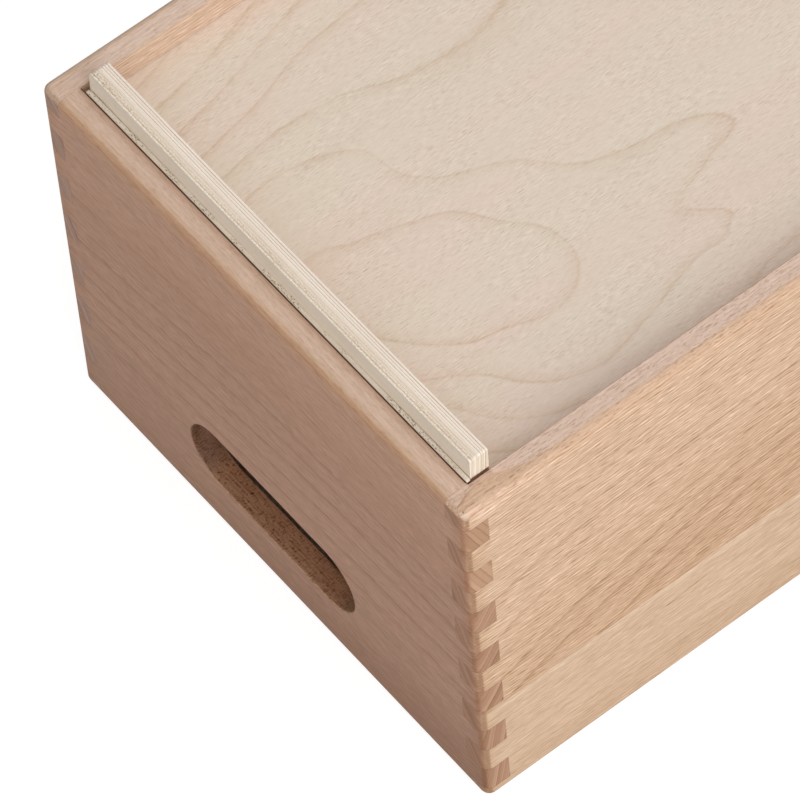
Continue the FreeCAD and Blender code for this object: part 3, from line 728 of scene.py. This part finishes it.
def plyStackTree():  # copies of one ply side by side, each a little higher or lower
    tree = bpy.data.node_groups.new("plyStack", "GeometryNodeTree")
    for name, kind in (("Ply", "Object"), ("Plies", "Int"), ("Pitch", "Float"), ("Ledge share", "Float"),
                       ("Front share", "Float"), ("Length share", "Float"), ("Unevenness", "Float"), ("Seed", "Int"),
                       ("Half length", "Float"), ("Tall", "Float"), ("Lean from", "Float"), ("Lean", "Float"),
                       ("Bow", "Float"), ("Finish", "Material")):
        tree.interface.new_socket(name, in_out="INPUT", socket_type="NodeSocket" + kind)
    tree.interface.new_socket("Geometry", in_out="OUTPUT", socket_type="NodeSocketGeometry")

    def add(kind, settings=None, sockets=None):
        node = tree.nodes.new(kind)
        for key, value in (settings or {}).items():
            setattr(node, key, value)
        for key, value in (sockets or {}).items():
            if isinstance(value, bpy.types.NodeSocket):
                tree.links.new(value, node.inputs[key])
            else:
                node.inputs[key].default_value = value
        return node

    def sum(operation, *values):
        return add("ShaderNodeMath", {"operation": operation}, dict(enumerate(values))).outputs[0]

    def vector(**values):
        return add("ShaderNodeCombineXYZ", {}, values).outputs[0]

    def either(isFirst, first, other):
        sockets = {"Switch": isFirst, "False": other, "True": first}
        return add("GeometryNodeSwitch", {"input_type": "FLOAT"}, sockets).outputs[0]

    given = add("NodeGroupInput").outputs
    line = add("GeometryNodeMeshLine", {"mode": "OFFSET"},
               {"Count": given["Plies"], "Offset": vector(Y=given["Pitch"])}).outputs[0]
    ply = add("GeometryNodeObjectInfo", {}, {"Object": given["Ply"]}).outputs["Geometry"]
    index = add("GeometryNodeInputIndex").outputs[0]
    isFirst = add("FunctionNodeCompare", {"data_type": "INT", "operation": "EQUAL"}, {2: index, 3: 0}).outputs[0]
    least = sum("MULTIPLY", given["Unevenness"], -1.0)
    height = add("FunctionNodeRandomValue", {"data_type": "FLOAT"},
                 {2: least, 3: given["Unevenness"], "Seed": given["Seed"]}).outputs[1]
    size = vector(X=either(isFirst, 1.0, given["Length share"]), Y=either(isFirst, given["Front share"], 1.0),
                  Z=either(isFirst, given["Ledge share"], sum("ADD", 1.0, height)))
    copies = add("GeometryNodeInstanceOnPoints", {}, {"Points": line, "Instance": ply, "Scale": size}).outputs[0]
    whole = add("GeometryNodeRealizeInstances", {}, {0: copies}).outputs[0]

    place = add("ShaderNodeSeparateXYZ", {}, {0: add("GeometryNodeInputPosition").outputs[0]}).outputs
    outer = sum("POWER", sum("ABSOLUTE", sum("DIVIDE", place[0], given["Half length"])), 2.0)
    leanStart = sum("MULTIPLY", given["Tall"], given["Lean from"])
    above = sum("DIVIDE", sum("SUBTRACT", place[2], leanStart), sum("SUBTRACT", given["Tall"], leanStart))
    back = sum("MULTIPLY", sum("MULTIPLY_ADD", outer, given["Bow"], given["Lean"]), sum("MAXIMUM", above, 0.0))
    bowed = add("GeometryNodeSetPosition", {}, {"Geometry": whole, "Offset": vector(Y=back)}).outputs[0]
    done = add("GeometryNodeSetMaterial", {}, {"Geometry": bowed, "Material": given["Finish"]}).outputs[0]
    add("NodeGroupOutput", {}, {0: done})
    return tree


def battenMaterial(firstJoint, pitch, foot, tall):
    sheet = Sheet(bpy.data.materials.new("batten_plies"))
    grain = sheet.grain(battenNoises, batten["noiseSeed"])
    axes, facing = sheet.spot(), sheet.facing()
    outer = (axes[0] / batten["reach"]) * (axes[0] / batten["reach"])
    leanStart, rimHeight = batten["leanFrom"] * tall, beech["height"]
    above = ((axes[2] - foot - leanStart) / (tall - leanStart)).most(0.0)
    lean = (outer * batten["bow"] + batten["lean"]) * above
    plyAt = (axes[1] - lean - firstJoint) / pitch + 1                   # 0 to 1 in the front ply, and so on
    crossed = (plyAt.floor() * 0.5).fraction().fade(0.2, 0.3)           # every other ply has its grain upright
    onTop, onEnd = facing[2].fade(0.3, 0.7), abs(facing[0]).fade(0.3, 0.7)
    toJoint, boundary = 0.5 - abs(plyAt.fraction() - 0.5), (plyAt + 0.5).floor()
    plies = batten["plies"]
    glue = (1 - toJoint.fade(0.05, 0.15)) * boundary.curve(batten["glueLines"], 0, plies, 0, 1, "VECTOR")
    waves = {kind: grain(kind, axes) for kind in battenNoises}
    leftEnd = 1 - axes[0].fade(-128, -96)
    sawn = (1 - plyAt.fade(2.6, 3.8)) * 0.85 + 0.15                     # the front plies were torn by the saw
    ledge = 1 - plyAt.fade(0.97, 1.0)

    frontTop, midTop, rearTop = [colour(*tone) for tone in batten["tops"]]
    top = sheet.mix(plyAt.fade(2.6, 3.0), frontTop, midTop)
    top = sheet.mix(plyAt.fade(4.6, 4.8), top, rearTop)
    top = sheet.mix(ledge, top, colour(*batten["ledgeTone"]))
    surface = sheet.mix(onTop, colour(*batten["face"]), top)
    surface = sheet.mix(onEnd, surface, colour(*batten["endTint"]), "MULTIPLY")
    # painted shade on the plies just below the rim, in the gap beside the walls; not on the rear face
    belowRim = axes[2].fade(rimHeight + 0.1, rimHeight - 0.4) * axes[2].fade(rimHeight - 2.6, rimHeight - 1.2)
    gapShadeBelowRim = belowRim * (1 - onTop) * facing[1].below(0.5)
    surface = sheet.mix(gapShadeBelowRim, surface, colour(*batten["battenGapShade"]), "MULTIPLY")

    # painted highlight along the front ply's top edge
    arrisHighlight = (1 - abs(plyAt - 1.2).fade(0.2, 0.4)) * onTop
    torn = ledge * (waves["patches"] * 0.55 + 0.10)
    torn = torn + (1 - ledge) * sawn * (leftEnd * 0.42 + waves["patches"] * 0.12 + 0.03)
    sway = waves["broad"] * 0.12 + waves["long"] * (onTop * 0.16 + 0.14) + arrisHighlight * 0.12
    sway = sway + waves["coarse"] * (onTop * (1 - ledge) * sawn * 1.1 + 0.16) - waves["specks"] * onTop * torn
    sway = sway + onEnd * (crossed * 0.14 - 0.07) - glue * (onTop + onEnd).least(1.0) * 0.5
    relief = waves["coarse"] * (sawn + 0.2) * onTop - waves["specks"] * torn * 2.0 - glue
    rough = batten["rough"] + waves["coarse"] * 0.1
    return sheet.finish(sheet.shaded(surface, sway), rough, relief, batten["relief"])


def stackPlies(low, high):  # the batten's plies, between these corners of its box
    size = high - low
    plies, front = batten["plies"], batten["frontPly"] * mm
    firstJoint = low.y - batten["proud"] * mm + front
    pitch = (high.y - firstJoint) / (plies - 1)
    gap = batten["glueGap"] * mm
    uneven = batten["unevenness"] * mm / size.z
    tall = size.z / (1 + uneven)
    ply = bpy.data.objects.new("ply", plyMesh(size.x, tall, pitch - gap))
    host = bpy.data.objects.new("plyHost", bpy.data.meshes.new("plyHost"))
    for helper in (ply, host):
        bpy.context.scene.collection.objects.link(helper)
    stack = host.modifiers.new("plies", "NODES")
    stack.node_group = plyStackTree()
    given = {item.name: item.identifier for item in stack.node_group.interface.items_tree if item.in_out == "INPUT"}
    values = {
        "Ply": ply, "Plies": plies, "Pitch": pitch, "Ledge share": batten["ledge"] * mm / tall,
        "Front share": front / (pitch - gap), "Length share": 1 - batten["shorter"] * mm / size.x,
        "Unevenness": uneven, "Seed": batten["seed"], "Half length": size.x / 2, "Tall": tall,
        "Lean from": batten["leanFrom"], "Lean": batten["lean"] * mm, "Bow": batten["bow"] * mm,
        "Finish": battenMaterial(firstJoint / mm, pitch / mm, low.z / mm, tall / mm),
    }
    for name, value in values.items():
        stack[given[name]] = value
    bpy.context.view_layer.update()
    data = bpy.data.meshes.new_from_object(host.evaluated_get(bpy.context.evaluated_depsgraph_get()))
    data.transform(Matrix.Translation(((low.x + high.x) / 2, firstJoint, low.z)))
    for helper in (host, ply):
        bpy.data.objects.remove(helper)
    piece = bpy.data.objects.new("lid_batten_plies", data)
    bpy.context.scene.collection.objects.link(piece)
    return piece


lidBatten = stackPlies(*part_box("lid_batten"))
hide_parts("lid_batten")
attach(lidBatten, "lid")
print("batten built:", len(lidBatten.data.polygons), "faces")

camera = {
    "place": (1.7586, -1.2954, 3.2539),
    "aim": (0.06701, -0.17058, 0.2),
    "roll": -5.72,          # degrees
    "lens": 380.1,          # mm, on a sensor this wide
    "sensor": 36,
    "clip": (0.1, 50),
}


def placeCamera():
    place, aim = Vector(camera["place"]), Vector(camera["aim"])
    ahead = (aim - place).normalized()
    level = ahead.cross(Vector((0, 0, 1))).normalized()
    above = level.cross(ahead)
    roll = math.radians(camera["roll"])
    right = level * math.cos(roll) + above * math.sin(roll)
    up = above * math.cos(roll) - level * math.sin(roll)
    data = bpy.data.cameras.new("camera")
    data.sensor_width, data.lens = camera["sensor"], camera["lens"]
    data.clip_start, data.clip_end = camera["clip"]
    eye = bpy.data.objects.new("camera", data)
    bpy.context.scene.collection.objects.link(eye)
    turn = Matrix((right, up, -ahead)).transposed().to_4x4()
    eye.matrix_world = Matrix.Translation(place) @ turn
    bpy.context.scene.camera = eye


studio = {
    "sky": 0.66,
    "lean": (0.50, 0.05, 0.10),     # how much brighter the sky is towards x, y and z
    "key": {"place": (2.6, -0.3, 1.9), "aim": (0, 0, 0.1), "size": 3.6, "power": 50.0},
    "floorSize": 6.0,
    "floorTone": 0.36,
    "floorGlow": 0.80,              # how bright the camera sees the floor, on top of its light
}


def placeLamp(name, lamp):
    data = bpy.data.lights.new(name, "AREA")
    data.shape = "DISK"
    data.size = lamp["size"]
    data.energy = lamp["power"]
    light = bpy.data.objects.new(name, data)
    bpy.context.scene.collection.objects.link(light)
    light.location = lamp["place"]
    ahead = Vector(lamp["aim"]) - Vector(lamp["place"])
    light.rotation_euler = ahead.to_track_quat("-Z", "Y").to_euler()


def seenRays(sheet):  # 1 where the camera, a gloss or a clear piece sees the backdrop
    kinds = ("Is Camera Ray", "Is Glossy Ray", "Is Transmission Ray")
    rays = [sheet.add("LightPath", {}, {}, kind) for kind in kinds]
    return (rays[0] + rays[1] + rays[2]).least(1.0)


def placeFloor():
    mesh = bmesh.new()
    bmesh.ops.create_grid(mesh, x_segments=1, y_segments=1, size=studio["floorSize"])
    data = bpy.data.meshes.new("studio_floor")
    mesh.to_mesh(data)
    mesh.free()
    floor = bpy.data.objects.new("studio_floor", data)
    bpy.context.scene.collection.objects.link(floor)
    sheet = Sheet(bpy.data.materials.new("studio_floor"))
    tone = studio["floorTone"]
    matte = sheet.add("BsdfDiffuse", {}, {"Color": colour(tone, tone, tone)})
    glow = sheet.add("Emission", {}, {"Color": colour(1, 1, 1), "Strength": seenRays(sheet) * studio["floorGlow"]})
    both = sheet.add("AddShader", {}, {0: matte, 1: glow})
    sheet.add("OutputMaterial", {}, {"Surface": both})
    data.materials.append(sheet.owner)


def lightSky():
    world = bpy.data.worlds.new("studio")
    bpy.context.scene.world = world
    sheet = Sheet(world)
    lean = sheet.add("VectorMath", {"operation": "DOT_PRODUCT"},
                     {0: sheet.add("TexCoord", {}, {}, "Generated"), 1: studio["lean"]}, "Value")
    light = (lean + 1) * studio["sky"]
    seen = seenRays(sheet)
    sky = sheet.add("Background", {}, {"Color": colour(1, 1, 1), "Strength": light + seen * (1 - light)})
    sheet.add("OutputWorld", {}, {"Surface": sky})


placeCamera()
placeLamp("key_lamp", studio["key"])
placeFloor()
lightSky()
bpy.context.scene.view_settings.view_transform = "Standard"
print("camera, lamp and floor placed")
